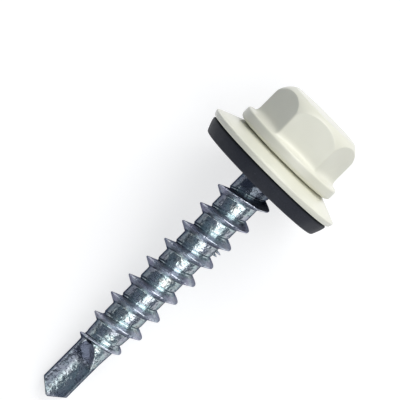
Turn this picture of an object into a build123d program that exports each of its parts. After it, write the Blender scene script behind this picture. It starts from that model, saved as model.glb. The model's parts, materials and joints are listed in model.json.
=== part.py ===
"""Self drilling screw with a flanged hex head and a captive sealing washer, lying on its side.

Heights run along the shank from the seat under the flange: positive towards the head, negative
towards the point. Turns are counted about the shank in degrees, right-handed towards the head,
from the +Y side. The origin is on the shank's line, in the plane of the seal's free face.
"""

import os
from math import asin, atan2, cos, degrees, pi, radians, sin, tan

from build123d import *

# Hex head and flange
across_flats = 8.0
hex_corner_round = 0.5
hex_turn = 95.0
head_height = 5.15
crown_diameter = 9.12
crown_start = 2.75
crown_radius = 3.7
crown_edge_bevel = 0.22
flange_diameter = 10.6
flange_thickness = 1.2
flange_lower_bevel = 0.32
flange_upper_bevel = 0.18
hex_root_fillet = 0.45
neck_bevel = 0.18

# Core and thread
core_diameter = 3.2
core_bottom_height = -20.7
thread_diameter = 4.8
thread_pitch = 2.2
thread_angle = 60.0
crest_width = 0.08
root_sink = 0.12
full_thread_top = -5.7
full_turns = 6.55
growing_turns = 1.45
growing_from_diameter = 3.64
starting_turns = 0.17
last_lead = 2.92
last_turns = 0.5
ending_turns = 0.36

# Drill point
tip_height = -29.3
drill_diameter = 2.8
drill_top_height = -24.2
point_angle = 100.0
chisel_width = 0.4
web_thickness = 0.8
flute_hollow = 0.3
flute_wall_offset = 1.34
flute_wall_lean = 12.0
flute_turn = 0.0
runout_height = -24.7
runout_length = 2.6
runout_sidestep = 0.72
runout_rise = 0.5

# Dished washer
washer_diameter = 14.26
washer_plateau_diameter = 9.2
washer_hole_diameter = 5.2
washer_thickness = 0.6
washer_cone_angle = 22.0
rim_chords = 5
washer_play = 0.05
washer_seam_turn = 92.142857

# Rubber seal
seal_depth = 3.01
seal_inset = 0.33
seal_widest_depth = 1.72
seal_taper = 0.45
seal_bulge = 0.07
seal_bore_clearance = 0.05

# Section of the washer about its mid line
cone = radians(washer_cone_angle)
rim_round = washer_thickness / 2
rim_centre_radius = washer_diameter / 2 - rim_round
plateau_radius = washer_plateau_diameter / 2
washer_top = -washer_play
washer_underside = washer_top - washer_thickness
rim_drop = (rim_centre_radius - plateau_radius) * tan(cone) + rim_round / cos(cone)
rim_centre_height = washer_top - rim_drop
underside_bend_radius = plateau_radius - washer_thickness * tan(cone / 2)
rim_turns = [pi / 2 - cone - pi * chord / rim_chords for chord in range(rim_chords + 1)]
rim_corners = [
    (rim_centre_radius + rim_round * cos(turn), rim_centre_height + rim_round * sin(turn))
    for turn in rim_turns
]
seal_height = washer_top - seal_depth

# Radii and heights of the shank
core_radius = core_diameter / 2
crest_radius = thread_diameter / 2
drill_radius = drill_diameter / 2
shoulder_height = tip_height + (drill_radius - chisel_width / 2) / tan(radians(point_angle / 2))
web_corner_height = tip_height + (web_thickness - chisel_width) / 2 / tan(radians(point_angle / 2))

# Floor of each flute: an arc that meets the drill's round body at the lands
flute_floor_radius = (flute_wall_offset**2 + flute_hollow**2) / (2 * flute_hollow)
flute_floor_centre = web_thickness / 2 + flute_floor_radius
land_depth = (drill_radius**2 + flute_floor_centre**2 - flute_floor_radius**2) / (2 * flute_floor_centre)


def lean_on(rim_corner, drill_corner):
    """Lean that sets a corner of the washer's rim and a corner of the drill on one level."""
    return atan2(rim_corner[0] - drill_corner[0], rim_corner[1] - drill_corner[1])


# The shank leans head up, on the washer's rim and on the flat point
drill_corners = [(land_depth, shoulder_height), (web_thickness / 2, web_corner_height)]
lean = min(
    max(lean_on(rim_corner, drill_corner) for rim_corner in rim_corners) for drill_corner in drill_corners
)
shank = Vector(cos(lean), 0, sin(lean))
beside = Vector(0, 1, 0)
above = Vector(-sin(lean), 0, cos(lean))
seat = shank * -seal_height
shank_line = Axis(seat, shank)


def across(height, turn=0):
    """Plane square to the shank at a height, with its X turned about the shank."""
    x_dir = beside * cos(radians(turn)) + above * sin(radians(turn))
    return Plane(origin=seat + shank * height, x_dir=x_dir, z_dir=shank)


def along(turn):
    """Plane through the shank's line at a turn about it: X is the radius, Y the height."""
    outward = across(0, turn).x_dir
    return Plane(origin=seat, x_dir=outward, z_dir=outward.cross(shank))


def height_of(edge):
    """Height of an edge's middle along the shank."""
    return (edge @ 0.5 - seat).dot(shank)


def reach_of(edge):
    """Distance of an edge's middle from the shank's line."""
    offset = edge @ 0.5 - seat
    return (offset - shank * offset.dot(shank)).length


def thread_stretch(height, turn, turns, lead, first_radius, last_radius):
    """Stretch of ridge between two crest radii, with faces ruled between the helices of its corners."""
    rise = turns * lead
    slope = atan2(last_radius - first_radius, rise)
    depth = crest_radius - core_radius + root_sink
    half_crest = crest_width / 2
    half_root = half_crest + depth * tan(radians(thread_angle / 2))
    corners = [(-depth, -half_root), (0, -half_crest), (0, half_crest), (-depth, half_root)]
    helices = [
        Helix(
            pitch=lead / cos(slope),
            height=rise,
            radius=first_radius + inward,
            center=(0, 0, along),
            cone_angle=degrees(slope),
            mode=Mode.PRIVATE,
        ).edge()
        for inward, along in corners
    ]
    faces = [
        Face.make_surface_from_curves(helices[index - 1], helices[index])
        for index in range(len(helices))
    ]
    for end in (0, 1):
        faces.append(Face(Wire.make_polygon([helix @ end for helix in helices], close=True)))
    return Solid(Shell(faces)).moved(across(height, turn).location)


# Upright half section of what is turned about the shank
half_section = along(90)

# Hexagon with rounded corners, cut to a domed crown
corner_radius = across_flats / 2 / cos(radians(30)) - hex_corner_round * (1 / cos(radians(30)) - 1)
crown_arc = degrees(asin((head_height - crown_start) / crown_radius))

with BuildPart() as head:
    with BuildSketch(across(0, hex_turn)) as hexagon:
        RegularPolygon(across_flats / 2, 6, major_radius=False, rotation=30)
        fillet(hexagon.vertices(), hex_corner_round)
    extrude(amount=head_height)
    with BuildSketch(half_section) as crown:
        with BuildLine():
            dome = JernArc((crown_diameter / 2, crown_start), (0, 1), crown_radius, crown_arc)
            Polyline(dome @ 1, (0, head_height), (0, 0), (crown_diameter / 2, 0), dome @ 0)
        make_face()
        chamfer(crown.vertices().group_by(Axis.Y)[-1].sort_by(Axis.X)[-1], crown_edge_bevel)
    revolve(axis=shank_line, mode=Mode.INTERSECT)

# Blank: flange, core and the round body of the drill point, turned about the shank's line
with BuildPart() as screw:
    with BuildSketch(half_section) as blank:
        with BuildLine():
            Polyline(
                (0, tip_height),
                (chisel_width / 2, tip_height),
                (drill_radius, shoulder_height),
                (drill_radius, drill_top_height),
                (core_radius, core_bottom_height),
                (core_radius, 0),
                (flange_diameter / 2, 0),
                (flange_diameter / 2, flange_thickness),
                (0, flange_thickness),
                close=True,
            )
        make_face()
        chamfer(blank.vertices().group_by(Axis.X)[-1].sort_by(Axis.Y)[0], flange_lower_bevel)
        chamfer(blank.vertices().group_by(Axis.X)[-1].sort_by(Axis.Y)[-1], flange_upper_bevel)
        chamfer(blank.vertices().sort_by_distance((core_radius, 0))[0], neck_bevel)
    revolve(axis=shank_line)

    # The hexagon stands on the flange in a hollow fillet
    add(head.part)
    on_flange = screw.edges().filter_by(lambda edge: abs(height_of(edge) - flange_thickness) < 1e-4)
    fillet(on_flange.filter_by(lambda edge: reach_of(edge) < corner_radius + 1e-3), hex_root_fillet)

    # Two opposed flutes, each a broad scoop that climbs out of the core sideways at its upper end
    for turn in (flute_turn, flute_turn + 180):
        start = across(tip_height - drill_radius, turn)
        climb = across(runout_height, turn)
        for plane, length, heading in (
            (start, runout_height - tip_height + drill_radius, shank),
            (climb, runout_length, shank + climb.x_dir * runout_sidestep + climb.y_dir * runout_rise),
        ):
            with BuildSketch(plane):
                with BuildLine():
                    floor = ThreePointArc(
                        (flute_wall_offset, web_thickness / 2 + flute_hollow),
                        (0, web_thickness / 2),
                        (-flute_wall_offset, web_thickness / 2 + flute_hollow),
                    )
                    mouth = web_thickness / 2 + flute_hollow + drill_diameter
                    wall_top = -flute_wall_offset - drill_diameter * tan(radians(flute_wall_lean))
                    Polyline(
                        floor @ 1,
                        (wall_top, mouth),
                        (drill_diameter, mouth),
                        (drill_diameter, web_thickness / 2 + flute_hollow),
                        floor @ 0,
                    )
                make_face()
            extrude(amount=length * heading.length, dir=heading, mode=Mode.SUBTRACT)

    # Thread: it starts out of the core, grows, runs full, steepens for its last half turn and sinks back
    full_bottom = full_thread_top - full_turns * thread_pitch
    growing_bottom = full_bottom - growing_turns * thread_pitch
    starting_bottom = growing_bottom - starting_turns * thread_pitch
    sunk_radius = drill_radius - root_sink
    stretches = [
        (starting_turns, thread_pitch, sunk_radius, growing_from_diameter / 2),
        (growing_turns, thread_pitch, growing_from_diameter / 2, crest_radius),
        (full_turns, thread_pitch, crest_radius, crest_radius),
        (last_turns, last_lead, crest_radius, crest_radius),
        (ending_turns, thread_pitch, crest_radius, core_radius - root_sink),
    ]
    height = starting_bottom
    turn = -360 * (full_turns + growing_turns + starting_turns)
    for turns, lead, first_radius, last_radius in stretches:
        add(thread_stretch(height, turn, turns, lead, first_radius, last_radius))
        height += turns * lead
        turn += 360 * turns

# Steel washer, dished around a flat plateau under the flange, its rim rounded in a few chords
with BuildPart() as washer:
    with BuildSketch(along(washer_seam_turn)):
        with BuildLine():
            rim = Polyline(*rim_corners)
            Polyline(
                rim @ 1,
                (underside_bend_radius, washer_underside),
                (washer_hole_diameter / 2, washer_underside),
                (washer_hole_diameter / 2, washer_top),
                (plateau_radius, washer_top),
                rim @ 0,
            )
        make_face()
    revolve(axis=shank_line)

# Rubber seal bonded into the dish, its side slightly bulged, its bore a close fit on the core
seal_widest_radius = washer_diameter / 2 - seal_inset
seal_face_radius = seal_widest_radius - seal_taper
seal_bore_radius = core_radius + seal_bore_clearance
seal_widest_height = washer_top - seal_widest_depth

with BuildPart() as seal:
    with BuildSketch(half_section):
        with BuildLine():
            flank = SagittaArc(
                (seal_face_radius, seal_height), (seal_widest_radius, seal_widest_height), -seal_bulge
            )
            Polyline(
                flank @ 1,
                rim_corners[-1],
                (underside_bend_radius, washer_underside),
                (seal_bore_radius, washer_underside),
                (seal_bore_radius, seal_height),
                flank @ 0,
            )
        make_face()
    revolve(axis=shank_line)

screw.part.label = "screw"
washer.part.label = "washer"
seal.part.label = "seal"

os.makedirs("parts", exist_ok=True)
export_step(screw.part, "parts/screw.step")
export_step(washer.part, "parts/washer.step")
export_step(seal.part, "parts/seal.step")
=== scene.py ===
"""Self drilling screw with a painted hex head and a captive sealing washer, lying on a pale floor.

Each piece is modelled in millimetres in the screw's own frame and then put in its place: X lies
beside the shank, Y above it, and Z along it towards the head, from the seat under the flange.
"""

import json
import math

import bpy
from mathutils import Matrix, Vector


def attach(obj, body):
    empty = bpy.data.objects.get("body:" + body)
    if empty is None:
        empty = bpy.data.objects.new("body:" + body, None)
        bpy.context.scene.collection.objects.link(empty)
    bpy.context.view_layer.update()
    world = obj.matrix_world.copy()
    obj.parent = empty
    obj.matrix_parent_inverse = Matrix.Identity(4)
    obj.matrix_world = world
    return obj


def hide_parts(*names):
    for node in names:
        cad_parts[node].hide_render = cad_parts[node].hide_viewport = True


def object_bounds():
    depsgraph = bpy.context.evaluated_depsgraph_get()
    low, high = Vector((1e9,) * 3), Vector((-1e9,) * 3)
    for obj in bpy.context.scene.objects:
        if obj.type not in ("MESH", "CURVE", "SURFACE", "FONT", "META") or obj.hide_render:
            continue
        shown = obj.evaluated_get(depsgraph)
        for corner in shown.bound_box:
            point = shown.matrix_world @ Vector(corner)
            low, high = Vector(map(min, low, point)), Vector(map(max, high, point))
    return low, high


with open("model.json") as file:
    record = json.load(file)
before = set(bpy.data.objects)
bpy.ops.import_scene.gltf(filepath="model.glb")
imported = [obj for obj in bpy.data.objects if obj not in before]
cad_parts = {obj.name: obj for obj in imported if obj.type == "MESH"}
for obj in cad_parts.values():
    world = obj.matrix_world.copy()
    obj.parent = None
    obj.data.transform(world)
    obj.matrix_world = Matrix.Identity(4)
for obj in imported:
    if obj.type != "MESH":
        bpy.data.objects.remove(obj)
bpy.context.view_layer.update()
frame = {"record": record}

MM = 0.001
SEAT_ABOVE_SEAL_FACE = 3.06

shank_line = Vector(frame["record"]["behaviour"]["joints"][0]["axis"]).normalized()
beside = Vector((0, 1, 0))
above = shank_line.cross(beside)
seat = shank_line * SEAT_ABOVE_SEAL_FACE * MM
PLACE = (
    Matrix.Translation(seat)
    @ Matrix((beside, above, shank_line)).transposed().to_4x4()
    @ Matrix.Scale(MM, 4)
)
SHARP_EDGE = math.radians(42)

# Largest share of a profile's side that the round at one of its ends takes
ROUND_SHARE = 0.49

# Head and flange, in millimetres, with the turn of the first flat in degrees and of half a flat in
# radians
APOTHEM = 4.0
CORNER_ROUND = 0.28
HEX_TURN = 95.0
HALF_FLAT = math.pi / 6
FLANGE_RADIUS = 5.3
FLANGE_SIDE = 1.0
FLANGE_TOP = 1.13
FLANGE_LOWER_ROUND = 0.42
FLANGE_UPPER_ROUND = 0.12
ROOT_RISE = 0.2
ROOT_FILLET = 0.5
CROWN_START = 3.15
CROWN_RADIUS = 2.3
CROWN_MAX_RADIUS = 4.66
CROWN_STEPS = 10
CROWN_STEP_ROUND = 0.3
HEAD_HEIGHT = 5.15
ARCH_ROUND = 0.16
TOP_EDGE_ROUND = 0.25

# Fine groove on top of the flange's edge: how far in each corner lies, how deep, and its round
FLANGE_GROOVE = ((0.15, 0.0, 0.05), (0.23, 0.06, 0.03), (0.32, 0.03, 0.03))

# Columns of the head's surface, in degrees: coarse ones over the flats, fine ones round the corners
FLAT_HALF_STEPS = 16
FLAT_STEP = 1.5
CORNER_STEPS = 24
CORNER_STEP = 0.5

# Washer, in millimetres: its profile starts and ends on the hole's wall, at the seam's two heights
# over its underside
WASHER_RADIUS = 7.13
WASHER_HOLE = 2.6
WASHER_SEAM = (0.01, 0.02)
PLATEAU_RADIUS = 4.6
WASHER_THICKNESS = 0.6
WASHER_PLAY = 0.05
WASHER_CONE = math.radians(22)
WASHER_BEND_ROUND = 0.4
RIM_ROUND = 0.2

# Fine groove inside the washer's rim: how far in each corner lies, and how deep
WASHER_GROOVE = ((0.26, 0.0), (0.31, 0.04), (0.38, 0.0))
WASHER_GROOVE_ROUND = 0.02

# Seal, in millimetres: its profile starts and ends on the bore's wall, at the seam's two heights
# over its free face
SEAL_FACE_HEIGHT = -SEAT_ABOVE_SEAL_FACE
SEAL_FACE_RADIUS = 6.35
SEAL_EDGE_ROUND = 0.18
SEAL_BORE = 1.65
SEAL_BORE_ROUND = 0.12
SEAL_SEAM = (0.2, 0.3)
SEAL_WIDEST_HEIGHT = -1.77
SEAL_WIDEST_RADIUS = 6.8
SEAL_WIDEST_ROUND = 0.1
SEAL_BULGE_IN = 0.1
SEAL_BULGE_DOWN = 0.45
SEAL_BULGE_ROUND = 0.3
SEAL_BEND_ROUND = 0.2

RING_SEGMENTS = 256

# Steel from the point to the neck, in millimetres, turns and slopes: the names are the tree's inputs
STEEL = {
    "Tip": -29.3,
    "Chisel half width": 0.12,
    "Point slope": math.tan(math.radians(50)),
    "Shoulder round": 0.12,
    "Drill radius": 1.4,
    "Drill top": -24.2,
    "Core bottom": -20.7,
    "Core radius": 1.6,
    "Crest radius": 2.4,
    "Crest flat": 0.04,
    "Crest round": 0.02,
    "Tip flank slope": math.tan(math.radians(62)),
    "Head flank slope": math.tan(math.radians(69)),
    "Root round": 0.13,
    "Pitch": 2.2,
    "Full thread top": -5.7,
    "Last lead": 2.92,
    "Last turns": 0.5,
    "Ending turns": 0.36,
    "Ending sink": 0.12,
    "Start turn": -8.17,
    "Start radius": 1.28,
    "Grow turn": -8.0,
    "Grow radius": 1.82,
    "Full turn": -6.55,
    "Groove depth": 0.12,
    "Groove place": 0.5,
    "Groove width": 0.2,
    "Web half": 0.4,
    "Hollow": 0.4,
    "Wall offset": 1.34,
    "Wall slope": math.tan(math.radians(12)),
    "Wall steepness": 4.0,
    "Runout height": -25.2,
    "Runout softness": 0.9,
    "Sidestep": 0.95,
    "Rise": 0.5,
    "Land round": 0.05,
    "Crumb place 1": -10.26,
    "Crumb reach 1": 0.36,
    "Crumb place 2": -9.92,
    "Crumb reach 2": 0.5,
    "Crumb turn": 0.5,
    "Crumb half width": 0.11,
    "Crumb half turn": 0.022,
}

# Stretches of the steel and their grids: Follow makes the rows follow the thread, and Gather draws
# the columns together where the flutes meet the lands and where they are deepest
POINT_TOP = -21.6
NECK_TOP = 0.6
POINT_GRID = {"Bottom": STEEL["Tip"], "Top": POINT_TOP, "Gather": 0.8, "Columns": 260, "Rows per pitch": 70}
SHANK_GRID = {"Bottom": POINT_TOP, "Top": NECK_TOP, "Follow": 1.0, "Columns": 120, "Rows per pitch": 64}
GATHERINGS = 6

# Slack that keeps a point of the grid in its own column, and the distance that closes the seam
COLUMN_SLACK = 1e-4
WELD = 1e-4

# Least rise of a line from the shank towards a flute's floor, so that every line meets the floor
LEAST_RISE = 0.02

# How fast a flute's mark grows from its edge, for each millimetre of depth
FLUTE_MARK_GAIN = 12


class Number:
    """A number in a node tree: Python's operators on it add Math nodes."""

    def __init__(self, nodes, socket):
        self.nodes = nodes
        self.socket = socket

    def math(self, operation, *others):
        return self.nodes.math(operation, self, *others)

    def __add__(self, other):
        return self.math("ADD", other)

    def __radd__(self, other):
        return self.math("ADD", other)

    def __sub__(self, other):
        return self.math("SUBTRACT", other)

    def __rsub__(self, other):
        return self.nodes.math("SUBTRACT", other, self)

    def __mul__(self, other):
        return self.math("MULTIPLY", other)

    def __rmul__(self, other):
        return self.math("MULTIPLY", other)

    def __truediv__(self, other):
        return self.math("DIVIDE", other)

    def __rtruediv__(self, other):
        return self.nodes.math("DIVIDE", other, self)

    def __neg__(self):
        return self.math("MULTIPLY", -1.0)

    def at_least(self, other):
        return self.math("MAXIMUM", other)

    def at_most(self, other):
        return self.math("MINIMUM", other)

    def between(self, low, high):
        return self.at_least(low).at_most(high)


class Nodes:
    """A node tree being built."""

    def __init__(self, tree):
        self.tree = tree

    def add(self, kind, settings=None, sockets=None):
        """A new node: its settings first, then the value or link of each named or numbered socket."""
        node = self.tree.nodes.new(kind)
        for name, value in (settings or {}).items():
            if name == "stops":
                while len(node.color_ramp.elements) < len(value):
                    node.color_ramp.elements.new(1.0)
                for element, (place, colour) in zip(node.color_ramp.elements, value):
                    element.position = place
                    element.color = (*colour, 1.0)
            else:
                setattr(node, name, value)
        for name, value in (sockets or {}).items():
            value = value.socket if isinstance(value, Number) else value
            if isinstance(value, bpy.types.NodeSocket):
                self.tree.links.new(value, node.inputs[name])
            else:
                node.inputs[name].default_value = value
        return node

    def number(self, node, output=0):
        return Number(self, node.outputs[output])

    def math(self, operation, *values):
        return self.number(self.add("ShaderNodeMath", {"operation": operation}, dict(enumerate(values))))


def placed(piece, body):
    """Moves a piece's mesh from the screw's frame to its place and sets it on its body."""
    piece.data.transform(PLACE)
    piece.data.shade_smooth()
    piece.data.set_sharp_from_angle(angle=SHARP_EDGE)
    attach(piece, body)
    return piece


def finished(name, points, faces, material, body):
    """A closed piece from points in millimetres, put in its place on its body."""
    mesh = bpy.data.meshes.new(name)
    mesh.from_pydata(points, [], faces)
    mesh.validate()
    mesh.materials.append(material)
    piece = bpy.data.objects.new(name, mesh)
    bpy.context.scene.collection.objects.link(piece)
    return placed(piece, body)


def rounded(corners, steps):
    """Profile through corners (radius, height, round): each round is an arc that starts that far off."""
    path = []
    for index, (radius, height, reach) in enumerate(corners):
        here = Vector((radius, height))
        if reach == 0 or index in (0, len(corners) - 1):
            path.append(here)
            continue
        before = Vector(corners[index - 1][:2]) - here
        after = Vector(corners[index + 1][:2]) - here
        start = here + before.normalized() * min(reach, before.length * ROUND_SHARE)
        end = here + after.normalized() * min(reach, after.length * ROUND_SHARE)
        for step in range(steps + 1):
            share = step / steps
            path.append((1 - share) ** 2 * start + 2 * share * (1 - share) * here + share**2 * end)
    return path


def turned(profile, turn):
    """A profile's points at a turn about the shank."""
    return [(radius * math.cos(turn), radius * math.sin(turn), height) for radius, height in profile]


def lathed(name, columns, material, body):
    """Closed surface from profiles at turns about the shank, whose ends are on the shank's line."""
    points, faces = [], []
    for turn, profile in columns:
        points += turned(profile[1:-1], turn)
    bottom, top = len(points), len(points) + 1
    first_profile = columns[0][1]
    points += [(0, 0, first_profile[0][1]), (0, 0, first_profile[-1][1])]
    rows = len(first_profile) - 2
    for column in range(len(columns)):
        here, there = column * rows, (column + 1) % len(columns) * rows
        faces += [(here + row, there + row, there + row + 1, here + row + 1) for row in range(rows - 1)]
        faces.append((bottom, there, here))
        faces.append((top, here + rows - 1, there + rows - 1))
    return finished(name, points, faces, material, body)


def ring(name, profile, material, body):
    """Closed ring turned from a closed profile that runs anticlockwise, radius to the right."""
    points, faces = [], []
    count = len(profile)
    for segment in range(RING_SEGMENTS):
        points += turned(profile, 2 * math.pi * segment / RING_SEGMENTS)
        here, there = segment * count, (segment + 1) % RING_SEGMENTS * count
        for index in range(count):
            after = (index + 1) % count
            faces.append((here + index, there + index, there + after, here + after))
    return finished(name, points, faces, material, body)


# Materials


def new_material(name):
    material = bpy.data.materials.new(name)
    material.use_nodes = True
    material.node_tree.nodes.clear()
    return material, Nodes(material.node_tree)


def millimetres(nodes):
    """Object coordinates in millimetres."""
    place = nodes.add("ShaderNodeTexCoord").outputs["Object"]
    sockets = {0: place, 1: (1 / MM, 1 / MM, 1 / MM)}
    return nodes.add("ShaderNodeVectorMath", {"operation": "MULTIPLY"}, sockets).outputs[0]


def noise(nodes, place, scale, detail=2.0, roughness=0.5, distortion=0.0):
    sockets = {
        "Vector": place, "Scale": scale, "Detail": detail, "Roughness": roughness, "Distortion": distortion
    }
    return nodes.number(nodes.add("ShaderNodeTexNoise", None, sockets))


def ramp(nodes, value, stops):
    return nodes.add("ShaderNodeValToRGB", {"stops": stops}, {"Fac": value}).outputs["Color"]


def ramped(nodes, value, low, high):
    """A value spread softly over 0 to 1 between two limits."""
    sockets = {"Value": value, "From Min": low, "From Max": high}
    return nodes.number(nodes.add("ShaderNodeMapRange", {"interpolation_type": "SMOOTHSTEP"}, sockets))


def grown(nodes, value, start, full, share):
    """A share that is nothing up to the start value and grows softly to its whole at the full one."""
    return share * ramped(nodes, value, start, full)


def mixed(nodes, share, first, second):
    """Two colours mixed by the second one's share."""
    sockets = {0: share, 6: first, 7: (*second, 1.0)}
    return nodes.add("ShaderNodeMix", {"data_type": "RGBA"}, sockets).outputs[2]


def mark(nodes, name):
    """A mark that the steel's tree left on the mesh."""
    return nodes.number(nodes.add("ShaderNodeAttribute", {"attribute_name": name}), "Fac")


def surfaced(nodes, shader):
    nodes.add("ShaderNodeOutputMaterial", None, {"Surface": shader.outputs[0]})


def skinned(nodes, relief, strength, depth, sockets):
    """Ends a material in one shader, whose surface a relief raises by a depth in millimetres."""
    rise = {"Strength": strength, "Distance": depth * MM, "Height": relief}
    bump = nodes.add("ShaderNodeBump", None, rise)
    surfaced(nodes, nodes.add("ShaderNodeBsdfPrincipled", None, {**sockets, "Normal": bump.outputs[0]}))


# Where shade is painted onto the plating as a darker blue: in the flutes and at their run-out, at
# the neck in the washer's shadow, and on the core's far side and near edge; the drill's lands also
# darken towards the point. For each stretch: where it starts, where it is full, and its share there.
# The places are heights over the seat, ways down from it, or ways off the shank's line and off a
# flute's middle line, all in millimetres
NECK = (-5.0, -4.0, 0.85)
FLUTE_RUNOUT = (-25.5, -24.6, 0.97)
LANDS_DOWN = (24.0, 25.0, 0.6)
FAR_SIDE = (0.4, 1.0, 0.4)
FAR_EDGE = (0.9, 1.2, 0.4)
NEAR_EDGE = (0.85, 1.15, 0.35)
FLUTE_MIDDLE = (-0.5, 0.0, 0.3)
FLUTE_WALL = (0.2, 0.6, 0.5)
WHOLE_FLUTE = 0.05

# Up the thread, from the core at 0 to the crest at 1: the painted shade on the sides goes, and a
# mauve comes, partly the plating's violet tint and partly a painted reflection on the flanks
THREAD_FOOT = (0.05, 0.3, 0.7)
THREAD_TINT_AND_REFLECTION = (0.05, 0.4, 0.45)

# Where the flecks turn into pits
PITS = (0.54, 0.64, 0.7)


def painted_shade_share(nodes, place, up_thread):
    """Share of painted shade on the plating: in the flutes, at the neck and on the core's sides, and
    on the drill's lands, which darken towards the point.
    """
    height = nodes.add("ShaderNodeVectorMath", {"operation": "DOT_PRODUCT"}, {0: place, 1: shank_line})
    height = nodes.number(height, "Value") - SEAT_ABOVE_SEAL_FACE
    beside_shank = nodes.number(nodes.add("ShaderNodeSeparateXYZ", None, {0: place}), 1)
    in_flute, across_flute = mark(nodes, "in_flute"), mark(nodes, "across_flute")
    flute = WHOLE_FLUTE + grown(nodes, across_flute, *FLUTE_MIDDLE)
    flute = flute + grown(nodes, across_flute, *FLUTE_WALL)
    flute = flute.at_least(grown(nodes, height, *FLUTE_RUNOUT))
    lands = (1 - in_flute) * grown(nodes, -height, *LANDS_DOWN)
    neck = (1 - up_thread) * grown(nodes, height, *NECK)
    sides = grown(nodes, beside_shank, *FAR_SIDE) + grown(nodes, beside_shank, *FAR_EDGE)
    sides = sides + grown(nodes, -beside_shank, *NEAR_EDGE)
    sides = sides * (1 - grown(nodes, up_thread, *THREAD_FOOT))
    return (in_flute * flute).at_least(lands).at_least(neck).at_least(sides)


def zinc_steel():
    """Bright zinc plating: a bluish, mottled skin that breaks its highlights into flecks, with painted
    shade, a painted highlight and a mauve that is partly painted reflection.
    """
    material, nodes = new_material("bright zinc")
    place = millimetres(nodes)
    patches = noise(nodes, place, scale=0.8, detail=3.0)
    flecks = noise(nodes, place, scale=6.0, distortion=0.3)
    waves = noise(nodes, place, scale=3.0, detail=1.5, roughness=0.4, distortion=0.4)
    grain = noise(nodes, place, scale=13.0, roughness=0.6)
    up_thread = mark(nodes, "up_thread")

    mauve_to_cyan = [
        (0.34, (0.61, 0.64, 0.72)),
        (0.46, (0.72, 0.77, 0.79)),
        (0.56, (0.66, 0.81, 0.81)),
        (0.66, (0.79, 0.83, 0.78)),
    ]
    pit_grey = (0.12, 0.14, 0.17)
    flank_tint_and_reflection = (0.66, 0.64, 0.8)
    painted_groove_highlight = (0.76, 0.9, 0.9)
    painted_shade_blue = (0.07, 0.08, 0.115)
    colour = ramp(nodes, patches, mauve_to_cyan)
    colour = mixed(nodes, grown(nodes, flecks, *PITS), colour, pit_grey)
    # Mauve up the thread: partly the plating's violet tint, partly a painted reflection on the flanks
    colour = mixed(nodes, grown(nodes, up_thread, *THREAD_TINT_AND_REFLECTION), colour, flank_tint_and_reflection)
    # Painted highlight: a pale cyan in the thread's root groove on the head's side
    colour = mixed(nodes, 0.7 * mark(nodes, "in_groove"), colour, painted_groove_highlight)
    # Painted shade: a darker blue in the flutes, at the neck, on the core's sides and on the drill's lands
    colour = mixed(nodes, painted_shade_share(nodes, place, up_thread), colour, painted_shade_blue)

    flank = ramped(nodes, up_thread, 0.08, 0.4) - ramped(nodes, up_thread, 0.85, 0.97)
    skin = {
        "Base Color": colour,
        "Metallic": 1.0,
        "Roughness": 0.2 + 0.14 * ramped(nodes, grain, 0.35, 0.7) + 0.1 * flank,
        "Specular Tint": (0.06, 0.06, 0.12, 1.0),
    }
    skinned(nodes, waves - 0.15 * flecks, strength=1.0, depth=0.06, sockets=skin)
    return material


def cream_paint():
    """Glossy pale cream powder paint with a slight orange peel."""
    material, nodes = new_material("cream paint")
    place = millimetres(nodes)
    clouds = noise(nodes, place, scale=0.35)
    peel = noise(nodes, place, scale=1.6)
    creams = [(0.3, (0.80, 0.785, 0.65)), (0.7, (0.84, 0.825, 0.695))]
    skin = {
        "Base Color": ramp(nodes, clouds, creams),
        "Roughness": 0.3 + 0.12 * clouds,
        "Coat Weight": 0.35,
        "Coat Roughness": 0.12,
    }
    skinned(nodes, peel, strength=0.5, depth=0.012, sockets=skin)
    return material


def seal_rubber():
    """Blue-black moulded rubber with a fine grain."""
    material, nodes = new_material("seal rubber")
    place = millimetres(nodes)
    clouds = noise(nodes, place, scale=0.8, detail=3.0)
    grain = noise(nodes, place, scale=9.0, detail=3.0, roughness=0.7)
    blacks = [
        (0.35, (0.006, 0.008, 0.015)),
        (0.6, (0.011, 0.014, 0.024)),
        (0.72, (0.03, 0.035, 0.05)),
    ]
    skin = {"Base Color": ramp(nodes, grain, blacks), "Roughness": 0.55 + 0.25 * clouds}
    skinned(nodes, grain, strength=0.7, depth=0.02, sockets=skin)
    return material


zinc, paint, rubber = zinc_steel(), cream_paint(), seal_rubber()


# Steel, by a tree that works out the surface's radius from the turn and the height


def turns_and_heights(nodes, size):
    """A grid, the turn and height of its points, and 1 on the two rows that close its ends."""
    spacing = size["Pitch"] / size["Rows per pitch"]
    spread = (size["Top"] - size["Bottom"]) + size["Pitch"] * size["Follow"]
    rows = (spread / spacing).math("CEIL") + 2
    counts = {"Vertices X": size["Columns"] + 1, "Vertices Y": rows + 1}
    grid = nodes.add("GeometryNodeMeshGrid", None, counts)
    index = nodes.number(nodes.add("GeometryNodeInputIndex"))
    column = (index / (rows + 1) + COLUMN_SLACK).math("FLOOR")
    row = index - column * (rows + 1)
    even = column / size["Columns"]
    ripples = 2 * math.pi * GATHERINGS
    turn = even - size["Gather"] / ripples * (ripples * even - math.pi).math("SINE")
    raised = (row - 1) * spacing + (turn - 1) * size["Pitch"] * size["Follow"]
    height = (size["Bottom"] + raised).between(size["Bottom"], size["Top"])
    at_end = row.math("LESS_THAN", 0.5) + row.math("GREATER_THAN", rows - 0.5)
    return grid, turn, height, at_end


def nearest_crest(size, turn, height):
    """Turn of the crest that is nearest to a point of the surface, and how far over it the point is."""
    up = height - size["Full thread top"]
    last_rise = size["Last lead"] * size["Last turns"]
    turns_up = (
        up.at_most(0) / size["Pitch"]
        + (up / size["Last lead"]).between(0, size["Last turns"])
        + (up - last_rise).at_least(0) / size["Pitch"]
    )
    crest_turn = turn + (turns_up - turn).math("ROUND")
    crest_up = (
        size["Pitch"] * crest_turn.at_most(0)
        + size["Last lead"] * crest_turn.between(0, size["Last turns"])
        + size["Pitch"] * (crest_turn - size["Last turns"]).at_least(0)
    )
    return crest_turn, up - crest_up


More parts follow.
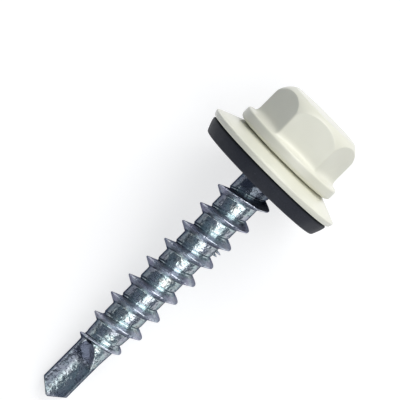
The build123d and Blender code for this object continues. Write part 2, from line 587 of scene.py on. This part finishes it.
def crest_radius(size, crest_turn):
    """Crest's radius: it starts inside the drill, grows, runs full and sinks back into the core."""
    start_gain = (size["Grow radius"] - size["Start radius"]) / (size["Grow turn"] - size["Start turn"])
    grow_gain = (size["Crest radius"] - size["Grow radius"]) / (size["Full turn"] - size["Grow turn"])
    end_loss = (size["Crest radius"] - size["Core radius"] + size["Ending sink"]) / size["Ending turns"]
    starting = size["Start radius"] + (crest_turn - size["Start turn"]) * start_gain
    growing = size["Grow radius"] + (crest_turn - size["Grow turn"]) * grow_gain
    ending = size["Crest radius"] - (crest_turn - size["Last turns"]) * end_loss
    return starting.at_most(growing).at_most(size["Crest radius"].at_most(ending))


def ridge_radius(size, crest, off_crest):
    """Radius on the thread's two flanks, which meet in a narrow, softened crest."""
    past_flat = (off_crest.math("ABSOLUTE") - size["Crest flat"]).at_least(0)
    soft_off = (past_flat * past_flat + size["Crest round"] * size["Crest round"]).math("SQRT")
    on_head_side = off_crest.math("GREATER_THAN", 0)
    slope = size["Tip flank slope"] + (size["Head flank slope"] - size["Tip flank slope"]) * on_head_side
    return crest - (soft_off - size["Crest round"]) * slope


def share_of_thread(size, radius):
    """How far a radius lies from the core, at 0, to the full crest, at 1."""
    return ((radius - size["Core radius"]) / (size["Crest radius"] - size["Core radius"])).between(0, 1)


def root_groove(size, crest, off_crest):
    """Section of the shallow groove that rolling leaves on the head's side, and how strong it is."""
    groove_off = (off_crest - size["Groove place"]) / size["Groove width"]
    return (1 - groove_off * groove_off).at_least(0), share_of_thread(size, crest)


def turned_body(size, height):
    """Radius of the body without thread and flutes: point, drill, taper and core."""
    cone = size["Chisel half width"] + (height - size["Tip"]) * size["Point slope"]
    taper_share = (height - size["Drill top"]) / (size["Core bottom"] - size["Drill top"])
    taper = (size["Core radius"] - size["Drill radius"]) * taper_share.between(0, 1)
    return cone.math("SMOOTH_MIN", size["Drill radius"] + taper, size["Shoulder round"])


def flute_radius(size, sideways, upward, height):
    """Radius on a flute: a hollow floor, which climbs out of the core sideways, and a steep wall."""
    climb = (height - size["Runout height"]).at_least(0)
    climbed = climb * climb / (climb + size["Runout softness"])
    shift, lift = size["Sidestep"] * climbed, size["Rise"] * climbed
    curve = size["Hollow"] / (size["Wall offset"] * size["Wall offset"])
    square_part = curve * sideways * sideways
    line_part = (upward + 2 * curve * sideways * shift).at_least(LEAST_RISE)
    fixed_part = size["Web half"] + lift + curve * shift * shift
    root = (line_part * line_part - 4 * square_part * fixed_part).at_least(0).math("SQRT")
    floor = 2 * fixed_part / (line_part + root)
    over_lip = floor * upward - lift - size["Web half"] - size["Hollow"]
    wall_line = (shift - size["Wall offset"]) - over_lip * size["Wall slope"]
    return floor + size["Wall steepness"] * (wall_line - floor * sideways).at_least(0)


def crumbs(size, turn, height):
    """Reach of the two crumbs of steel that the rolling left clinging to the core's side."""
    around = (turn - size["Crumb turn"]) / size["Crumb half turn"]
    reach = 0
    for number in ("1", "2"):
        along = (height - size["Crumb place " + number]) / size["Crumb half width"]
        form = (1 - along * along - around * around).at_least(0).math("SQRT")
        reach = reach + size["Crumb reach " + number] * form
    return reach


def steel_tree(material):
    """Tree that wraps a grid round the shank and gives it the point, flutes, core and thread."""
    tree = bpy.data.node_groups.new("threaded steel", "GeometryNodeTree")
    nodes = Nodes(tree)
    floats = {**STEEL, "Bottom": 0.0, "Top": 0.0, "Follow": 0.0, "Gather": 0.0}
    counts = {name: SHANK_GRID[name] for name in ("Columns", "Rows per pitch")}
    for kind, values in (("NodeSocketFloat", floats), ("NodeSocketInt", counts)):
        for name, value in values.items():
            tree.interface.new_socket(name=name, in_out="INPUT", socket_type=kind).default_value = value
    tree.interface.new_socket(name="Geometry", in_out="OUTPUT", socket_type="NodeSocketGeometry")
    given = nodes.add("NodeGroupInput")
    size = {name: nodes.number(given, name) for name in (*floats, *counts)}

    grid, turn, height, at_end = turns_and_heights(nodes, size)
    crest_turn, off_crest = nearest_crest(size, turn, height)
    crest = crest_radius(size, crest_turn)
    ridge = ridge_radius(size, crest, off_crest)
    groove_form, groove_strength = root_groove(size, crest, off_crest)
    groove = size["Groove depth"] * groove_form * groove_form * groove_strength

    # The second flute is the first one turned half a turn
    angle = turn * (2 * math.pi)
    sine, cosine = angle.math("SINE"), angle.math("COSINE")
    toward = sine.math("SIGN")
    sideways = cosine * toward
    body = turned_body(size, height)
    flute = flute_radius(size, sideways, sine * toward, height)

    cut = body.math("SMOOTH_MIN", flute, size["Land round"])
    threaded = (cut - groove).math("SMOOTH_MAX", ridge, size["Root round"])
    radius = (threaded + crumbs(size, turn, height)) * (1 - at_end)
    point = nodes.add("ShaderNodeCombineXYZ", None, {0: radius * cosine, 1: radius * sine, 2: height})
    moved = {"Geometry": grid.outputs[0], "Position": point.outputs[0]}
    shaped = nodes.add("GeometryNodeSetPosition", None, moved)

    # Marks for the plating's roughness, and for the shade, highlight and reflection painted on it
    marks = {
        "up_thread": share_of_thread(size, radius),
        "in_groove": groove_form * groove_strength,
        "in_flute": ((body - flute) * FLUTE_MARK_GAIN).between(0, 1),
        "across_flute": radius * sideways,
    }
    for name, value in marks.items():
        shaped = nodes.add(
            "GeometryNodeStoreNamedAttribute",
            {"data_type": "FLOAT", "domain": "POINT"},
            {"Geometry": shaped.outputs[0], "Name": name, "Value": value},
        )
    welding = {"Geometry": shaped.outputs[0], "Distance": WELD}
    closed = nodes.add("GeometryNodeMergeByDistance", None, welding)
    whole = nodes.add("GeometryNodeRealizeInstances", None, {"Geometry": closed.outputs[0]})
    dressing = {"Geometry": whole.outputs[0], "Material": material}
    dressed = nodes.add("GeometryNodeSetMaterial", None, dressing)
    nodes.add("NodeGroupOutput", None, {0: dressed.outputs[0]})
    return tree


def steel_piece(name, tree, values):
    """A plain mesh of one stretch of the steel."""
    carrier = bpy.data.objects.new(name + " grid", bpy.data.meshes.new(name + " grid"))
    bpy.context.scene.collection.objects.link(carrier)
    modifier = carrier.modifiers.new("steel", "NODES")
    modifier.node_group = tree
    for item in tree.interface.items_tree:
        if item.name in values:
            modifier[item.identifier] = values[item.name]
    evaluated = carrier.evaluated_get(bpy.context.evaluated_depsgraph_get())
    mesh = bpy.data.meshes.new_from_object(evaluated)
    carrier.modifiers.remove(modifier)
    bpy.data.objects.remove(carrier)
    mesh.name = name
    piece = bpy.data.objects.new(name, mesh)
    bpy.context.scene.collection.objects.link(piece)
    return placed(piece, "screw")


steel = steel_tree(zinc)
steel_piece("drill_point", steel, POINT_GRID)
threaded_shank = steel_piece("threaded_shank", steel, SHANK_GRID)
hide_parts("screw")


# Painted head


def hexagon_radius(turn):
    """Hexagon's radius at a turn, with rounded corners."""
    off_flat = (turn - math.radians(HEX_TURN) + HALF_FLAT) % (2 * HALF_FLAT) - HALF_FLAT
    off_corner = HALF_FLAT - abs(off_flat)
    corner_centre = (APOTHEM - CORNER_ROUND) / math.cos(HALF_FLAT)
    round_side = CORNER_ROUND * math.sin(HALF_FLAT)
    round_end = math.atan2(round_side, corner_centre + CORNER_ROUND * math.cos(HALF_FLAT))
    if off_corner > round_end:
        return APOTHEM / math.cos(off_flat)
    across = corner_centre * math.sin(off_corner)
    return corner_centre * math.cos(off_corner) + math.sqrt(CORNER_ROUND**2 - across**2)


def crown_point(dome):
    """Radius and height on the crown at an angle over its widest place."""
    centre = CROWN_MAX_RADIUS - CROWN_RADIUS
    return centre + CROWN_RADIUS * math.cos(dome), CROWN_START + CROWN_RADIUS * math.sin(dome)


def head_profile(turn):
    """Profile of flange, flat and crown at a turn: the flats cut arches into the crown."""
    wall = hexagon_radius(turn)
    arch = math.acos(min((wall - CROWN_MAX_RADIUS + CROWN_RADIUS) / CROWN_RADIUS, 1))
    brow = math.asin((HEAD_HEIGHT - CROWN_START) / CROWN_RADIUS)
    corners = [
        (0, 0, 0),
        (FLANGE_RADIUS, 0, FLANGE_LOWER_ROUND),
        (FLANGE_RADIUS, FLANGE_SIDE, FLANGE_UPPER_ROUND),
    ]
    for inward, depth, reach in FLANGE_GROOVE:
        corners.append((FLANGE_RADIUS - inward, FLANGE_TOP - depth, reach))
    corners.append((wall, FLANGE_TOP + ROOT_RISE, ROOT_FILLET))
    corners.append((wall, crown_point(arch)[1], ARCH_ROUND))
    for step in range(1, CROWN_STEPS):
        dome = arch + (brow - arch) * step / CROWN_STEPS
        corners.append((*crown_point(dome), CROWN_STEP_ROUND))
    corners.append((crown_point(brow)[0], HEAD_HEIGHT, TOP_EDGE_ROUND))
    corners.append((0, HEAD_HEIGHT, 0))
    return rounded(corners, steps=6)


def head_turns():
    """Turns at which the head's surface has its columns."""
    turns = []
    for flat in range(6):
        middle = HEX_TURN + 60 * flat
        turns += [middle + FLAT_STEP * step for step in range(-FLAT_HALF_STEPS, FLAT_HALF_STEPS + 1)]
        flat_end = middle + FLAT_STEP * FLAT_HALF_STEPS
        turns += [flat_end + CORNER_STEP * step for step in range(1, CORNER_STEPS)]
    return [math.radians(turn) for turn in turns]


lathed("head", [(turn, head_profile(turn)) for turn in head_turns()], paint, "screw")


# Painted washer

washer_underside = -WASHER_PLAY - WASHER_THICKNESS
rim_height = -WASHER_PLAY - (WASHER_RADIUS - PLATEAU_RADIUS) * math.tan(WASHER_CONE)


def washer_profile():
    """Section of the dished washer, anticlockwise from the hole's wall."""
    in_square = WASHER_THICKNESS * math.sin(WASHER_CONE)
    down_square = WASHER_THICKNESS * math.cos(WASHER_CONE)
    under_bend = PLATEAU_RADIUS - WASHER_THICKNESS * math.tan(WASHER_CONE / 2)
    corners = [
        (WASHER_HOLE, washer_underside + WASHER_SEAM[0], 0),
        (WASHER_HOLE, washer_underside, 0),
        (under_bend, washer_underside, WASHER_BEND_ROUND),
        (WASHER_RADIUS - in_square, rim_height - down_square, RIM_ROUND),
        (WASHER_RADIUS, rim_height, RIM_ROUND),
    ]
    for inward, depth in WASHER_GROOVE:
        height = rim_height + inward * math.tan(WASHER_CONE) - depth
        corners.append((WASHER_RADIUS - inward, height, WASHER_GROOVE_ROUND))
    corners += [
        (PLATEAU_RADIUS, -WASHER_PLAY, WASHER_BEND_ROUND),
        (WASHER_HOLE, -WASHER_PLAY, 0),
        (WASHER_HOLE, washer_underside + WASHER_SEAM[1], 0),
    ]
    return rounded(corners, steps=8)


washer = ring("washer_disc", washer_profile(), paint, "washer")
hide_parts("washer")


# Rubber seal


def seal_profile():
    """Section of the seal, anticlockwise from the bore's wall: its side bulges a little."""
    bulge_radius = SEAL_WIDEST_RADIUS - SEAL_BULGE_IN
    bulge_height = SEAL_WIDEST_HEIGHT - SEAL_BULGE_DOWN
    corners = [
        (SEAL_BORE, SEAL_FACE_HEIGHT + SEAL_SEAM[0], 0),
        (SEAL_BORE, SEAL_FACE_HEIGHT, SEAL_BORE_ROUND),
        (SEAL_FACE_RADIUS, SEAL_FACE_HEIGHT, SEAL_EDGE_ROUND),
        (bulge_radius, bulge_height, SEAL_BULGE_ROUND),
        (SEAL_WIDEST_RADIUS, SEAL_WIDEST_HEIGHT, SEAL_WIDEST_ROUND),
        (PLATEAU_RADIUS, washer_underside, SEAL_BEND_ROUND),
        (SEAL_BORE, washer_underside, 0),
        (SEAL_BORE, SEAL_FACE_HEIGHT + SEAL_SEAM[1], 0),
    ]
    return rounded(corners, steps=7)


seal = ring("rubber_seal", seal_profile(), rubber, "washer")
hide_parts("seal")


# Floor

FLOOR_HALF = 3.0
FLOOR_GREY = (0.4, 0.4, 0.4, 1.0)
FLOOR_GLOW = 0.69


def pale_floor():
    """Pale floor, lifted to white where it is seen or mirrored, which keeps the shadow."""
    material, nodes = new_material("pale floor")
    path = nodes.add("ShaderNodeLightPath")
    seen = nodes.number(path, "Is Camera Ray") + nodes.number(path, "Is Glossy Ray")
    seen = (seen + nodes.number(path, "Is Transmission Ray")).at_most(1.0)
    plain = nodes.add("ShaderNodeBsdfDiffuse", None, {"Color": FLOOR_GREY})
    white = {"Color": (1.0, 1.0, 1.0, 1.0), "Strength": seen * FLOOR_GLOW}
    glow = nodes.add("ShaderNodeEmission", None, white)
    surfaced(nodes, nodes.add("ShaderNodeAddShader", None, {0: plain.outputs[0], 1: glow.outputs[0]}))
    return material


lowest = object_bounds()[0].z
floor_corners = [
    (x * FLOOR_HALF, y * FLOOR_HALF, lowest) for x, y in ((-1, -1), (1, -1), (1, 1), (-1, 1))
]
floor_mesh = bpy.data.meshes.new("floor")
floor_mesh.from_pydata(floor_corners, [], [(0, 1, 2, 3)])
floor_mesh.materials.append(pale_floor())
floor = bpy.data.objects.new("floor", floor_mesh)
bpy.context.scene.collection.objects.link(floor)


# Light

SKY_BLUE = (0.62, 0.76, 1.0, 1.0)
SKY_STRENGTH = 0.17

world = bpy.data.worlds.new("studio")
world.use_nodes = True
world.node_tree.nodes.clear()
world_nodes = Nodes(world.node_tree)
sky = world_nodes.add("ShaderNodeBackground", None, {"Color": SKY_BLUE, "Strength": SKY_STRENGTH})
world_nodes.add("ShaderNodeOutputWorld", None, {"Surface": sky.outputs[0]})
bpy.context.scene.world = world


def soft_lamp(name, direction, strength, spread):
    """A lamp so far off that it lights everything alike, from a direction in the screw's frame."""
    lamp = bpy.data.lights.new(name, "SUN")
    lamp.energy = strength * math.pi
    lamp.angle = math.radians(spread)
    holder = bpy.data.objects.new(name, lamp)
    toward = (PLACE.to_3x3() @ Vector(direction)).normalized()
    holder.rotation_euler = toward.to_track_quat("Z", "Y").to_euler()
    bpy.context.scene.collection.objects.link(holder)


soft_lamp("overhead", direction=(-0.46, 0.87, 0.18), strength=0.38, spread=54)
soft_lamp("head_end", direction=(-0.1, 0.36, 0.93), strength=0.67, spread=50)
soft_lamp("tip_end", direction=(-0.05, 0.3, -0.95), strength=0.5, spread=60)


# Camera, which looks down on the screw and a little towards its tip, with the head at the upper right

CAMERA_DISTANCE = 0.6
VIEW_TILT = math.radians(4.4)
FRAME_WIDTH = 34.73 * MM
PICTURE_MIDDLE = (2.56, 0, -7.77)

target = PLACE @ Vector(PICTURE_MIDDLE)
level_right = shank_line * math.cos(VIEW_TILT) - above * math.sin(VIEW_TILT)
toward_camera = above * math.cos(VIEW_TILT) + shank_line * math.sin(VIEW_TILT)
camera_right = (level_right - beside).normalized()
camera_up = (level_right + beside).normalized()
camera_turn = Matrix((camera_right, camera_up, toward_camera)).transposed().to_4x4()
camera_data = bpy.data.cameras.new("camera")
camera_data.lens = camera_data.sensor_width * CAMERA_DISTANCE / FRAME_WIDTH
camera_data.clip_start = 0.01
camera_data.clip_end = 10
camera = bpy.data.objects.new("camera", camera_data)
camera.matrix_world = Matrix.Translation(target + toward_camera * CAMERA_DISTANCE) @ camera_turn
bpy.context.scene.collection.objects.link(camera)
bpy.context.scene.camera = camera
bpy.context.scene.view_settings.view_transform = "Standard"
